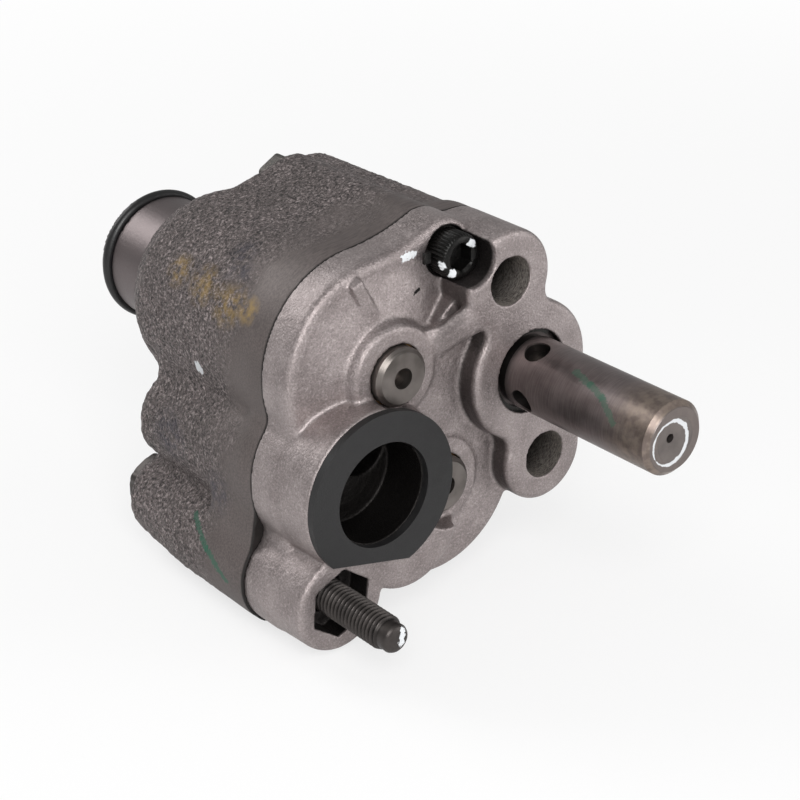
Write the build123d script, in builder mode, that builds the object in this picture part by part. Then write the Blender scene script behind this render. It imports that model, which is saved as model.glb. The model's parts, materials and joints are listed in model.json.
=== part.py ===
from build123d import *
from math import acos, cos, pi, radians, sin, tan
import os

# Gear-type engine oil pump. Millimetres. +Y runs back along the drive shaft, +Z is up.
# The origin is where the drive shaft's axis crosses the mounting face of the cover.

# Gear train
gear_teeth = 12
gear_centres = 40.5
gear_width = 38.0
pressure_angle = 25.0
backlash = 0.16
tip_clearance = 0.1
side_clearance = 0.06
mesh_angle = -67.5
shaft_r = 8.5
shaft_fit = 0.03
bush_wall = 2.0
bush_fit = 0.02
centre_hole_r = 3.0
shaft_end_y = 3.2
key_width = 5.0
key_height = 5.0
key_length = 24.0
key_fit = 0.02

# Cover, from the mounting face at Y = 0 back to the joint
joint_y = 24.0
centre_face_y = 7.0
shaft_land_y = 6.0
panel_top_y = 9.4
panel_top_r = 14.0
rim_y = 12.5
seat_y = 15.0
shaft_land_r = 13.5
hub_top_r = 14.2
hub_foot_r = 15.8
rib_y = 9.8
rib_width = 4.0
blend_r = 5.0
wide_blend_r = 60.0
boss_clearance_r = 11.4
shaft_clearance = 1.2
front_step = 0.8
rim_round = 2.5
pad_round = 1.6

# Lobes of the housing: axis place and outer radius at the joint
drive_lobe_r = 31.3
idler_lobe_r = 28.6
foot_lobe_x = 0.0
foot_lobe_z = -45.0
foot_lobe_r = 18.3
inlet_x = -11.0
inlet_z = -29.0
inlet_lobe_r = 24.9
bolt_x = -24.1
bolt_z = -58.7
bolt_lobe_r = 15.2
upper_hole_x = 35.0
upper_hole_z = 19.9
upper_lobe_r = 14.5
lower_hole_x = 49.6
lower_hole_z = -37.1
lower_lobe_r = 14.1
valve_x = 43.6
valve_z = -9.3
valve_lobe_r = 20.7
screw_x = 22.4
screw_z = 28.1
screw_lobe_r = 9.4

# Openings in the mounting face
inlet_bore_r = 14.85
inlet_floor_y = 15.0
mount_hole_r = 7.1
valve_bore_r = 12.4
valve_bore_depth = 14.0
hex_pocket_flats = 17.8
hex_pocket_depth = 8.0
hex_pocket_turn = 24.5
foot_slope = 3.5

# Inlet seal
seal_r = 23.9
seal_thickness = 2.3
seal_flat_distance = 19.8
seal_flat_angle = -103.0
seal_bore_step = 0.35

# Body
body_rear_y = 84.0
drum_shoulder_y = 87.0
drum_rear_y = 93.5
drum_rear_r = 26.5
drum_draft = 1.5
screw_web_y = 84.0
bolt_boss_y = 86.0
upper_boss_y = 92.0
lower_boss_y = 80.0
screw_boss_y = 83.5
spigot_r = 18.6
spigot_end_y = 124.0
spigot_bore_r = 14.0
spigot_floor_y = 90.0
spigot_groove_r = 16.7
bush_rear_y = 80.0
flange_rear_y = 32.0
gallery_r = 18.0
gallery_rear_y = 66.0
delivery_r = 8.0
pocket_offset = 14.0
pocket_r = 9.0
pocket_rear_y = 56.0
o_ring_section = 3.5
groove_width = 4.2
groove_rear_y = 122.2
tang_width = 8.0
tang_length = 10.0
drive_end_y = 114.0

# Fasteners
bolt_r = 5.0
bolt_hole_r = 5.6
bolt_head_flats = 17.0
bolt_head_height = 6.6
bolt_tip_y = -24.0
cover_screw_r = 4.0
cover_screw_hole_r = 4.4
cover_screw_length = 75.0
cover_screw_head_r = 6.5
cover_screw_head_height = 8.0
cover_screw_socket_flats = 7.0
cover_screw_socket_depth = 4.5
washer_r = 6.8
washer_thickness = 1.2
spotface_r = 7.2
nut_seat_r = 8.2
nut_flats = 13.0
nut_height = 6.5
dowel_r = 3.0
dowel_length = 16.0
dowel_fit = 0.02
upper_dowel_x = 38.5
upper_dowel_z = 6.0
lower_dowel_x = -20.0
lower_dowel_z = -44.0
bolt_point = 1.6
edge_break = 0.6

# Relief valve cartridge
sleeve_r = 10.6
sleeve_bore_r = 7.6
sleeve_tip_y = -55.0
sleeve_chamfer = 1.6
sleeve_relief_r = 9.9
sleeve_relief_y = -0.5
collar_length = 10.0
collar_fit = 0.04
port_r = 3.75
port_y = -6.4
port_angle = 24.0
plunger_fit = 0.03
plunger_length = 16.0
plunger_wall = 1.8
plunger_crown = 4.0
end_plug_r = 6.4
end_plug_nose = 4.0
end_plug_flange = 2.0
end_plug_fit = 0.03
vent_r = 1.3
spring_wire_r = 0.9
spring_turns = 6
snap_ring_y = 1.6
snap_ring_thickness = 1.2
snap_ring_depth = 0.9
snap_ring_gap = 0.5
seal_ring_section = 1.8
seat_length = 3.0
seat_bore_r = 5.0

idler_x = gear_centres * cos(radians(mesh_angle))
idler_z = gear_centres * sin(radians(mesh_angle))
gear_front_y = joint_y + side_clearance
gear_rear_y = gear_front_y + gear_width
chamber_rear_y = gear_rear_y + side_clearance
gear_module = gear_centres / gear_teeth
pitch_r = gear_centres / 2
tip_r = pitch_r + gear_module
root_r = pitch_r - 1.22 * gear_module
base_r = pitch_r * cos(radians(pressure_angle))
chamber_r = tip_r + tip_clearance
bush_r = shaft_r + bush_wall


def at(y):
    """Plane across the drive axis at y: local x is +X and local y is +Z."""
    return Plane.XZ.offset(-y)


def disc(x, z, r, y_front, y_rear, mode=Mode.ADD):
    """A cylinder parallel to the drive axis."""
    with BuildSketch(at(y_rear)) as face:
        with Locations((x, z)):
            Circle(r)
    extrude(face.sketch, amount=y_rear - y_front, mode=mode)


def swept(x_front, z_front, r_front, x_rear, z_rear, r_rear, y_front, y_rear):
    """A body between two circles of different place and size."""
    with BuildSketch(at(y_front)) as front:
        with Locations((x_front, z_front)):
            Circle(r_front)
    with BuildSketch(at(y_rear)) as rear:
        with Locations((x_rear, z_rear)):
            Circle(r_rear)
    loft([front.sketch, rear.sketch])


def cone(x, z, r_front, r_rear, y_front, y_rear):
    """A round boss with draft, parallel to the drive axis."""
    swept(x, z, r_front, x, z, r_rear, y_front, y_rear)


def boss(x, z, r_front, r_rear, y_front, y_rear, edge_r):
    """A round boss with draft and a rounded front rim, parallel to the drive axis."""
    with BuildSketch(Plane.XY.offset(z)) as section:
        with BuildLine():
            Polyline(
                (x, y_front),
                (x + r_front, y_front),
                (x + r_rear, y_rear),
                (x, y_rear),
                close=True,
            )
        make_face()
        fillet(section.vertices().sort_by_distance((x + r_front, y_front, 0))[0], edge_r)
    revolve(section.sketch, axis=Axis((x, 0, z), (0, 1, 0)))


def rounded_plate(outline, y_front, y_rear, edge_r):
    """A plate of the given outline with its front rim rounded."""
    with BuildPart(mode=Mode.PRIVATE) as plate:
        extrude(at(y_rear) * outline, amount=y_rear - y_front)
        fillet(plate.edges().group_by(Axis.Y)[0], edge_r)
    return plate.part


def hexagon(x, z, flats, y_front, y_rear, turn=30, mode=Mode.ADD):
    """A hexagonal prism parallel to the drive axis; a turn of 30 puts corners up and down."""
    with BuildSketch(at(y_rear)) as face:
        with Locations((x, z)):
            RegularPolygon(flats / 2, 6, major_radius=False, rotation=turn)
    extrude(face.sketch, amount=y_rear - y_front, mode=mode)


def web(ends, y_front, y_rear, mode=Mode.ADD):
    """The tangent web round two or more circles given as (x, z, r)."""
    with BuildSketch(at(y_rear)) as face:
        for x, z, r in ends:
            with Locations((x, z)):
                Circle(r)
        make_hull(mode=Mode.REPLACE)
    extrude(face.sketch, amount=y_rear - y_front, mode=mode)


def write(part, name):
    """Label a finished piece and write its STEP file."""
    part.label = name
    export_step(part, f"parts/{name}.step")


def blended_outline(shapes, wide_at=None):
    """The union of circles given as (x, z, r), blended inside each corner.

    The corner nearest to wide_at, where there is one, gets the wide blend.
    """
    with BuildSketch() as outline:
        for x, z, r in shapes:
            with Locations((x, z)):
                Circle(r)
        corners = [Vector(corner) for corner in outline.vertices()]
        if wide_at:
            corners.sort(key=lambda corner: (corner - Vector(*wide_at)).length)
        for place, corner in enumerate(corners):
            here = outline.vertices().sort_by_distance(corner)[0]
            fillet(here, wide_blend_r if wide_at and place == 0 else blend_r)
    return outline.sketch


def gear_face(x, z, tooth_angle):
    """Outline of an involute gear with one tooth centred on the given angle."""
    pitch_half = pi / (2 * gear_teeth) - backlash / (4 * pitch_r)
    pitch_inv = tan(radians(pressure_angle)) - radians(pressure_angle)
    with BuildSketch() as face:
        with BuildLine():
            for tooth in range(gear_teeth):
                middle = radians(tooth_angle) + tooth * 2 * pi / gear_teeth
                flank = []
                for step in range(6):
                    r = base_r + (tip_r - base_r) * step / 5
                    roll = acos(base_r / r)
                    half = pitch_half + pitch_inv - (tan(roll) - roll)
                    flank.append((r, half))
                foot_half = flank[0][1]
                low = [(r * cos(middle - h), r * sin(middle - h)) for r, h in flank]
                high = [(r * cos(middle + h), r * sin(middle + h)) for r, h in flank]
                foot_low = (root_r * cos(middle - foot_half), root_r * sin(middle - foot_half))
                foot_high = (root_r * cos(middle + foot_half), root_r * sin(middle + foot_half))
                crest = (tip_r * cos(middle), tip_r * sin(middle))
                valley = middle + pi / gear_teeth
                bottom = (root_r * cos(valley), root_r * sin(valley))
                after = middle + 2 * pi / gear_teeth - foot_half
                next_foot = (root_r * cos(after), root_r * sin(after))
                Line(foot_low, low[0])
                Spline(*low)
                ThreePointArc(low[-1], crest, high[-1])
                Spline(*high)
                Line(high[0], foot_high)
                ThreePointArc(foot_high, bottom, next_foot)
        make_face()
    return at(gear_rear_y) * (Pos(x, z, 0) * face.sketch)


def bush(x, z, y_front, y_rear):
    """A plain bearing bush with chamfered ends."""
    disc(x, z, bush_r - bush_fit, y_front, y_rear)
    chamfer(edges().filter_by(GeomType.CIRCLE), edge_break)
    disc(x, z, shaft_r + shaft_fit, y_front, y_rear, Mode.SUBTRACT)


def gear(x, z, tooth_angle):
    """A spur gear with its bore and keyway."""
    extrude(gear_face(x, z, tooth_angle), amount=gear_width)
    disc(x, z, shaft_r + shaft_fit, gear_front_y, gear_rear_y, Mode.SUBTRACT)
    with BuildSketch(at(gear_rear_y)) as slot:
        with Locations((x, z + (shaft_r + key_height / 2 + key_fit) / 2)):
            Rectangle(key_width + 2 * key_fit, shaft_r + key_height / 2 + key_fit)
    extrude(slot.sketch, amount=gear_width, mode=Mode.SUBTRACT)


def shaft(x, z, y_rear):
    """A ground shaft with chamfered ends, a centre hole in front and a keyway."""
    disc(x, z, shaft_r, shaft_end_y, y_rear)
    chamfer(edges().filter_by(GeomType.CIRCLE), 2 * edge_break)
    disc(x, z, centre_hole_r, shaft_end_y, shaft_end_y + 5, Mode.SUBTRACT)
    with BuildSketch(at(key_rear_y)) as slot:
        with Locations((x, z + shaft_r)):
            Rectangle(key_width, key_height)
    extrude(slot.sketch, amount=key_length, mode=Mode.SUBTRACT)


def key(x, z):
    """A square key standing half in the shaft and half in the gear."""
    with BuildSketch(at(key_rear_y - key_fit)) as face:
        with Locations((x, z + shaft_r)):
            Rectangle(key_width - 2 * key_fit, key_height - 2 * key_fit)
    extrude(face.sketch, amount=key_length - 2 * key_fit)


def torus_ring(x, z, y, centre_r, section_r):
    """A round-section ring about an axis parallel to the drive axis."""
    with BuildSketch(Plane.XY.offset(z)) as section:
        with Locations((x + centre_r, y)):
            Circle(section_r)
    revolve(section.sketch, axis=Axis((x, 0, z), (0, 1, 0)))


os.makedirs("parts", exist_ok=True)

key_rear_y = (gear_front_y + gear_rear_y + key_length) / 2
lobes = [
    (0, 0, drive_lobe_r),
    (idler_x, idler_z, idler_lobe_r),
    (foot_lobe_x, foot_lobe_z, foot_lobe_r),
    (inlet_x, inlet_z, inlet_lobe_r),
    (bolt_x, bolt_z, bolt_lobe_r),
    (upper_hole_x, upper_hole_z, upper_lobe_r),
    (valve_x, valve_z, valve_lobe_r),
    (lower_hole_x, lower_hole_z, lower_lobe_r),
    (screw_x, screw_z, screw_lobe_r),
]
right_lobes = lobes[5:8]
joint_outline = blended_outline(lobes, wide_at=(screw_x / 2, drive_lobe_r))
shaft_axes = ((0, 0), (idler_x, idler_z))
mount_holes = ((upper_hole_x, upper_hole_z), (lower_hole_x, lower_hole_z))
dowels = ((upper_dowel_x, upper_dowel_z), (lower_dowel_x, lower_dowel_z))
# Oil pockets on either side of the gear mesh, square to the line of centres
suction_x = idler_x / 2 + pocket_offset * sin(radians(mesh_angle))
suction_z = idler_z / 2 - pocket_offset * cos(radians(mesh_angle))
discharge_x = idler_x / 2 - pocket_offset * sin(radians(mesh_angle))
discharge_z = idler_z / 2 + pocket_offset * cos(radians(mesh_angle))

# Front cover: a plate with a low conical face, and the pads and bosses standing out of it.
with BuildPart() as front_cover:
    add(rounded_plate(joint_outline, rim_y, joint_y, rim_round))
    cone(0, 0, panel_top_r, drive_lobe_r - rim_round / 2, panel_top_y, rim_y + rim_round / 3)
    # Hub of the drive shaft, with the rib that runs from it to the rim
    cone(0, 0, hub_top_r, hub_foot_r, centre_face_y, rim_y)
    with BuildSketch(at(rim_y)) as rib:
        with Locations(Location((-6.3, 20.2), 116)):
            Rectangle(16, rib_width)
    extrude(rib.sketch, amount=rim_y - rib_y)
    # Lobe of the idler shaft, and the raised ground between the two shafts
    boss(idler_x, idler_z, idler_lobe_r, idler_lobe_r, centre_face_y, joint_y, pad_round)
    web(
        (
            (11, 2.5, 7),
            (24, 5, 5),
            (lower_hole_x, lower_hole_z, 2),
            (idler_x, idler_z, 6),
            (0, -12, 2),
        ),
        centre_face_y,
        rim_y,
    )
    for x, z in shaft_axes:
        disc(x, z, shaft_land_r, shaft_land_y, rim_y)
    # Pads in the plane of the mounting face
    for x, z, r in lobes[2:5]:
        boss(x, z, r - front_step, r, 0, joint_y, front_step if r == inlet_lobe_r else pad_round)
    swept(
        foot_lobe_x,
        foot_lobe_z,
        foot_lobe_r - front_step - pad_round,
        foot_lobe_x + foot_slope,
        foot_lobe_z - foot_slope / 2,
        foot_lobe_r - front_step,
        0,
        centre_face_y,
    )
    add(rounded_plate(blended_outline(right_lobes), 0, joint_y, pad_round))
    # Slope from the ground between the shafts up to the pad of the upper hole
    swept(29, 15, 6, 15.5, 5.5, 4.5, 0, centre_face_y)
    web(((15.5, 5.5, 4.5), (29, 15, 6)), centre_face_y, rim_y)
    # The inlet boss is cut back round the shaft ends, down to their lands
    disc(0, 0, shaft_r + shaft_clearance, -1, shaft_land_y, Mode.SUBTRACT)
    disc(idler_x, idler_z, boss_clearance_r, -1, shaft_land_y, Mode.SUBTRACT)
    # Corner screw seat
    disc(screw_x, screw_z, spotface_r, -1, seat_y, Mode.SUBTRACT)
    disc(screw_x, screw_z, cover_screw_hole_r, -1, joint_y + 1, Mode.SUBTRACT)
    # Bores
    for x, z in shaft_axes:
        disc(x, z, bush_r, centre_face_y + 1, joint_y + 1, Mode.SUBTRACT)
        disc(x, z, shaft_r + 0.4, -1, joint_y + 1, Mode.SUBTRACT)
    disc(inlet_x, inlet_z, inlet_bore_r, -1, inlet_floor_y, Mode.SUBTRACT)
    disc(suction_x, suction_z, 7.5, -1, joint_y + 1, Mode.SUBTRACT)
    for x, z in mount_holes:
        disc(x, z, mount_hole_r, -1, joint_y + 1, Mode.SUBTRACT)
    disc(valve_x, valve_z, valve_bore_r, -1, valve_bore_depth, Mode.SUBTRACT)
    disc(valve_x, valve_z, delivery_r, -1, joint_y + 1, Mode.SUBTRACT)
    disc(
        valve_x,
        valve_z,
        valve_bore_r + snap_ring_depth,
        snap_ring_y,
        snap_ring_y + snap_ring_thickness,
        Mode.SUBTRACT,
    )
    disc(bolt_x, bolt_z, bolt_hole_r, -1, joint_y + 1, Mode.SUBTRACT)
    hexagon(bolt_x, bolt_z, hex_pocket_flats, -1, hex_pocket_depth, hex_pocket_turn, Mode.SUBTRACT)
    for x, z in dowels:
        disc(x, z, dowel_r, joint_y - dowel_length / 2, joint_y + 1, Mode.SUBTRACT)
write(front_cover.part, "front_cover")

# Body: drums round the gears, with ridges for the long bolts and the valve gallery.
with BuildPart() as pump_body:
    extrude(at(flange_rear_y) * joint_outline, amount=flange_rear_y - joint_y)
    cone(0, 0, drive_lobe_r, drive_lobe_r - drum_draft, joint_y, drum_shoulder_y)
    cone(0, 0, drive_lobe_r - drum_draft, drum_rear_r, drum_shoulder_y, drum_rear_y)
    cone(idler_x, idler_z, idler_lobe_r, idler_lobe_r - 0.8, joint_y, body_rear_y)
    cone(foot_lobe_x, foot_lobe_z, foot_lobe_r, foot_lobe_r - 2, joint_y, body_rear_y)
    swept(inlet_x, inlet_z, inlet_lobe_r, -20, -33, 13.7, joint_y, body_rear_y)
    cone(bolt_x, bolt_z, bolt_lobe_r + 0.9, bolt_lobe_r + 0.4, joint_y, 60)
    cone(bolt_x, bolt_z, bolt_lobe_r + 0.4, bolt_lobe_r - 2, 60, bolt_boss_y)
    cone(upper_hole_x, upper_hole_z, upper_lobe_r - 1, upper_lobe_r - 1.8, joint_y, upper_boss_y)
    cone(lower_hole_x, lower_hole_z, lower_lobe_r - 0.6, lower_lobe_r - 1.4, joint_y, lower_boss_y)
    disc(screw_x, screw_z, screw_lobe_r - 0.2, joint_y, screw_boss_y)
    cone(valve_x, valve_z, valve_lobe_r, gallery_r, joint_y, gallery_rear_y)
    # Webs that tie the ridges to the drums
    web(
        ((0, 0, drive_lobe_r - 2), (screw_x, screw_z, screw_lobe_r - 0.8), (upper_hole_x, upper_hole_z, 11)),
        joint_y,
        screw_web_y,
    )
    web(((0, 0, 24), (-17, -31, 13)), joint_y + 16, 82)
    web(((idler_x, idler_z, 24), (bolt_x, bolt_z, 10)), joint_y, 80)
    web(((inlet_x, inlet_z, 22), (bolt_x, bolt_z, 14)), joint_y, 46)
    web(((idler_x, idler_z, 20), (lower_hole_x, lower_hole_z, 9)), joint_y, 72)
    web(((0, 0, 20), (valve_x, valve_z, 12), (idler_x, idler_z, 20)), joint_y, 62)
    disc(0, 0, spigot_r, drum_rear_y - 1, spigot_end_y)
    chamfer(edges().filter_by(GeomType.CIRCLE).sort_by(Axis.Y)[-1], 1)
    # Gear chambers and oil ways
    for x, z in shaft_axes:
        disc(x, z, chamber_r, joint_y - 1, chamber_rear_y, Mode.SUBTRACT)
        disc(x, z, bush_r, joint_y - 1, bush_rear_y, Mode.SUBTRACT)
    disc(suction_x, suction_z, pocket_r, joint_y - 1, pocket_rear_y, Mode.SUBTRACT)
    disc(discharge_x, discharge_z, pocket_r, joint_y - 1, pocket_rear_y, Mode.SUBTRACT)
    web(
        ((discharge_x, discharge_z, 6), (valve_x, valve_z, 6)),
        joint_y + 6,
        pocket_rear_y - 6,
        Mode.SUBTRACT,
    )
    disc(valve_x, valve_z, delivery_r, joint_y - 1, gallery_rear_y + 1, Mode.SUBTRACT)
    # Drive shaft passage, spigot bore and seal groove
    disc(0, 0, shaft_r + 0.4, joint_y, spigot_floor_y + 1, Mode.SUBTRACT)
    disc(0, 0, spigot_bore_r, spigot_floor_y, spigot_end_y + 1, Mode.SUBTRACT)
    with BuildSketch(at(groove_rear_y)) as groove:
        Circle(spigot_r + 1)
        Circle(spigot_groove_r, mode=Mode.SUBTRACT)
    extrude(groove.sketch, amount=groove_width, mode=Mode.SUBTRACT)
    # Through holes
    for x, z in mount_holes:
        disc(x, z, mount_hole_r, joint_y - 1, upper_boss_y + 1, Mode.SUBTRACT)
    disc(bolt_x, bolt_z, bolt_hole_r, joint_y - 1, bolt_boss_y + 1, Mode.SUBTRACT)
    disc(screw_x, screw_z, cover_screw_hole_r, joint_y - 1, upper_boss_y, Mode.SUBTRACT)
    with BuildSketch(at(upper_boss_y)) as nut_face:
        with Locations((screw_x, screw_z)):
            Circle(nut_seat_r)
    extrude(nut_face.sketch, amount=upper_boss_y - screw_boss_y, mode=Mode.SUBTRACT)
    for x, z in dowels:
        disc(x, z, dowel_r, joint_y - 1, joint_y + dowel_length / 2, Mode.SUBTRACT)
write(pump_body.part, "pump_body")

# Inlet seal: a flat rubber ring with one side cut straight.
with BuildPart() as inlet_seal:
    with BuildSketch() as ring:
        Circle(seal_r)
        with Locations(Location((0, 0), seal_flat_angle)):
            with Locations((seal_flat_distance + 10, 0)):
                Rectangle(20, 60, mode=Mode.SUBTRACT)
        Circle(inlet_bore_r + seal_bore_step, mode=Mode.SUBTRACT)
    extrude(at(0) * (Pos(inlet_x, inlet_z, 0) * ring.sketch), amount=seal_thickness)
write(inlet_seal.part, "inlet_seal")

with BuildPart() as spigot_o_ring:
    o_ring_r = spigot_groove_r + o_ring_section / 2
    torus_ring(0, 0, groove_rear_y - groove_width / 2, o_ring_r, o_ring_section / 2)
write(spigot_o_ring.part, "spigot_o_ring")

# Drive shaft, with a tang at the rear inside the spigot.
with BuildPart() as drive_shaft:
    shaft(0, 0, drive_end_y)
    with BuildSketch(at(drive_end_y)) as flats:
        for side in (-1, 1):
            with Locations((side * (tang_width / 2 + shaft_r), 0)):
                Rectangle(2 * shaft_r, 3 * shaft_r)
    extrude(flats.sketch, amount=tang_length, mode=Mode.SUBTRACT)
write(drive_shaft.part, "drive_shaft")

with BuildPart() as idler_shaft:
    shaft(idler_x, idler_z, bush_rear_y - 0.5)
write(idler_shaft.part, "idler_shaft")

with BuildPart() as drive_gear:
    gear(0, 0, mesh_angle)
write(drive_gear.part, "drive_gear")

with BuildPart() as driven_gear:
    gear(idler_x, idler_z, mesh_angle + 180 + 180 / gear_teeth)
write(driven_gear.part, "driven_gear")

with BuildPart() as drive_gear_key:
    key(0, 0)
write(drive_gear_key.part, "drive_gear_key")

with BuildPart() as driven_gear_key:
    key(idler_x, idler_z)
write(driven_gear_key.part, "driven_gear_key")

with BuildPart() as front_drive_bush:
    bush(0, 0, centre_face_y + 1, joint_y)
write(front_drive_bush.part, "front_drive_bush")

with BuildPart() as front_idler_bush:
    bush(idler_x, idler_z, centre_face_y + 1, joint_y)
write(front_idler_bush.part, "front_idler_bush")

with BuildPart() as rear_drive_bush:
    bush(0, 0, chamber_rear_y, bush_rear_y)
write(rear_drive_bush.part, "rear_drive_bush")

with BuildPart() as rear_idler_bush:
    bush(idler_x, idler_z, chamber_rear_y, bush_rear_y)
write(rear_idler_bush.part, "rear_idler_bush")

# Valve sleeve: a ported tube with a collar that stands in the cover.
collar_front_y = snap_ring_y + snap_ring_thickness
collar_rear_y = collar_front_y + collar_length
plug_seat_y = sleeve_tip_y + end_plug_nose
seal_ring_y = collar_rear_y - seal_ring_section
seat_front_y = collar_rear_y - 2 * seat_length
with BuildPart() as valve_sleeve:
    disc(valve_x, valve_z, sleeve_r, sleeve_tip_y, collar_front_y + 1)
    chamfer(edges().filter_by(GeomType.CIRCLE).sort_by(Axis.Y)[0], sleeve_chamfer)
    with BuildSketch(at(collar_front_y)) as relief:
        with Locations((valve_x, valve_z)):
            Circle(sleeve_r + 1)
            Circle(sleeve_relief_r, mode=Mode.SUBTRACT)
    extrude(relief.sketch, amount=collar_front_y - sleeve_relief_y, mode=Mode.SUBTRACT)
    disc(valve_x, valve_z, valve_bore_r - collar_fit, collar_front_y, collar_rear_y)
    with BuildSketch(at(seal_ring_y + seal_ring_section * 0.6)) as groove:
        with Locations((valve_x, valve_z)):
            Circle(valve_bore_r)
            Circle(valve_bore_r - seal_ring_section, mode=Mode.SUBTRACT)
    extrude(groove.sketch, amount=seal_ring_section * 1.2, mode=Mode.SUBTRACT)
    disc(valve_x, valve_z, sleeve_bore_r, plug_seat_y, collar_rear_y, Mode.SUBTRACT)
    disc(valve_x, valve_z, end_plug_r, sleeve_tip_y, plug_seat_y + 1, Mode.SUBTRACT)
    for port in range(2):
        slope = radians(port_angle + 90 * port)
        across = Plane((valve_x, port_y, valve_z), z_dir=(cos(slope), 0, sin(slope)))
        with BuildSketch(across) as port_face:
            Circle(port_r)
        extrude(port_face.sketch, amount=2 * sleeve_r, both=True, mode=Mode.SUBTRACT)
write(valve_sleeve.part, "valve_sleeve")

with BuildPart() as valve_seat:
    disc(valve_x, valve_z, sleeve_bore_r, seat_front_y, seat_front_y + seat_length)
    disc(valve_x, valve_z, seat_bore_r, seat_front_y, collar_rear_y, Mode.SUBTRACT)
write(valve_seat.part, "valve_seat")

# Plunger: a cup, open toward the spring, that stands on the seat.
plunger_rear_y = seat_front_y - plunger_fit
plunger_front_y = plunger_rear_y - plunger_length
crown_y = plunger_rear_y - plunger_crown
with BuildPart() as valve_plunger:
    disc(valve_x, valve_z, sleeve_bore_r - plunger_fit, plunger_front_y, plunger_rear_y)
    chamfer(edges().filter_by(GeomType.CIRCLE).sort_by(Axis.Y)[-1], edge_break)
    disc(
        valve_x,
        valve_z,
        sleeve_bore_r - plunger_wall,
        plunger_front_y,
        crown_y,
        Mode.SUBTRACT,
    )
write(valve_plunger.part, "valve_plunger")

with BuildPart() as valve_end_plug:
    disc(valve_x, valve_z, end_plug_r - end_plug_fit, sleeve_tip_y, plug_seat_y + 1)
    disc(valve_x, valve_z, sleeve_bore_r - end_plug_fit, plug_seat_y, plug_seat_y + end_plug_flange)
    disc(
        valve_x - 2,
        valve_z + 1,
        vent_r,
        sleeve_tip_y,
        plug_seat_y + end_plug_flange,
        Mode.SUBTRACT,
    )
write(valve_end_plug.part, "valve_end_plug")

spring_front_y = plug_seat_y + end_plug_flange
spring_length = crown_y - spring_front_y
spring_coil_r = sleeve_bore_r - plunger_wall - 0.4 - spring_wire_r
spring_pitch = (spring_length - 2 * spring_wire_r) / spring_turns
with BuildPart() as spring_turn:
    with BuildLine() as coil:
        Helix(spring_pitch, spring_pitch, spring_coil_r)
    with BuildSketch(Plane(coil.line @ 0, z_dir=coil.line % 0)):
        Circle(spring_wire_r)
    sweep(is_frenet=True)
along_y = Plane((valve_x, spring_front_y + spring_wire_r, valve_z), z_dir=(0, 1, 0))
with BuildPart(along_y) as valve_spring:
    with Locations([(0, 0, turn * spring_pitch) for turn in range(spring_turns)]):
        add(spring_turn.part)
write(valve_spring.part, "valve_spring")

with BuildPart() as valve_seal_ring:
    torus_ring(
        valve_x,
        valve_z,
        seal_ring_y,
        valve_bore_r - seal_ring_section / 2,
        seal_ring_section / 2 - 0.02,
    )
write(valve_seal_ring.part, "valve_seal_ring")

# Snap ring: an open spring ring that holds the sleeve in the cover.
with BuildPart() as valve_retaining_ring:
    with BuildSketch(at(snap_ring_y + snap_ring_thickness)) as ring:
        with Locations((valve_x, valve_z)):
            Circle(valve_bore_r + snap_ring_depth - 0.1)
            Circle(sleeve_r + snap_ring_gap, mode=Mode.SUBTRACT)
            with Locations(Location((0, 0), 40)):
                with Locations((valve_bore_r, 0)):
                    Rectangle(6, 5, mode=Mode.SUBTRACT)
    extrude(ring.sketch, amount=snap_ring_thickness)
write(valve_retaining_ring.part, "valve_retaining_ring")

# Mounting bolt, put in from the rear, with its end standing out in front.
with BuildPart() as mounting_bolt:
    disc(bolt_x, bolt_z, bolt_r, bolt_tip_y, bolt_boss_y + 1)
    chamfer(edges().filter_by(GeomType.CIRCLE).sort_by(Axis.Y)[0], bolt_point)
    hexagon(bolt_x, bolt_z, bolt_head_flats, bolt_boss_y, bolt_boss_y + bolt_head_height)
write(mounting_bolt.part, "mounting_bolt")

screw_head_rear_y = seat_y - washer_thickness
screw_tip_y = screw_head_rear_y + cover_screw_length
with BuildPart() as cover_screw:
    disc(
        screw_x,
        screw_z,
        cover_screw_head_r,
        screw_head_rear_y - cover_screw_head_height,
        screw_head_rear_y,
    )
    chamfer(edges().filter_by(GeomType.CIRCLE).sort_by(Axis.Y)[0], edge_break)
    disc(screw_x, screw_z, cover_screw_r, screw_head_rear_y - 1, screw_tip_y)
    chamfer(edges().filter_by(GeomType.CIRCLE).sort_by(Axis.Y)[-1], edge_break)
    hexagon(
        screw_x,
        screw_z,
        cover_screw_socket_flats,
        screw_head_rear_y - cover_screw_head_height - 1,
        screw_head_rear_y - cover_screw_head_height + cover_screw_socket_depth,
        mode=Mode.SUBTRACT,
    )
write(cover_screw.part, "cover_screw")

with BuildPart() as cover_screw_washer:
    disc(screw_x, screw_z, washer_r, screw_head_rear_y, seat_y)
    disc(screw_x, screw_z, cover_screw_r + 0.2, screw_head_rear_y, seat_y, Mode.SUBTRACT)
write(cover_screw_washer.part, "cover_screw_washer")

with BuildPart() as cover_nut:
    hexagon(screw_x, screw_z, nut_flats, screw_boss_y, screw_boss_y + nut_height)
    disc(screw_x, screw_z, cover_screw_r, screw_boss_y, screw_boss_y + nut_height, Mode.SUBTRACT)
write(cover_nut.part, "cover_nut")

with BuildPart() as cover_dowels:
    for x, z in dowels:
        disc(
            x,
            z,
            dowel_r - dowel_fit,
            joint_y - dowel_length / 2,
            joint_y + dowel_length / 2,
        )
write(cover_dowels.part, "cover_dowels")
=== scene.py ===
import json
import math

import bmesh
import bpy
import numpy as np
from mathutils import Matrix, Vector, noise


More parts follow.
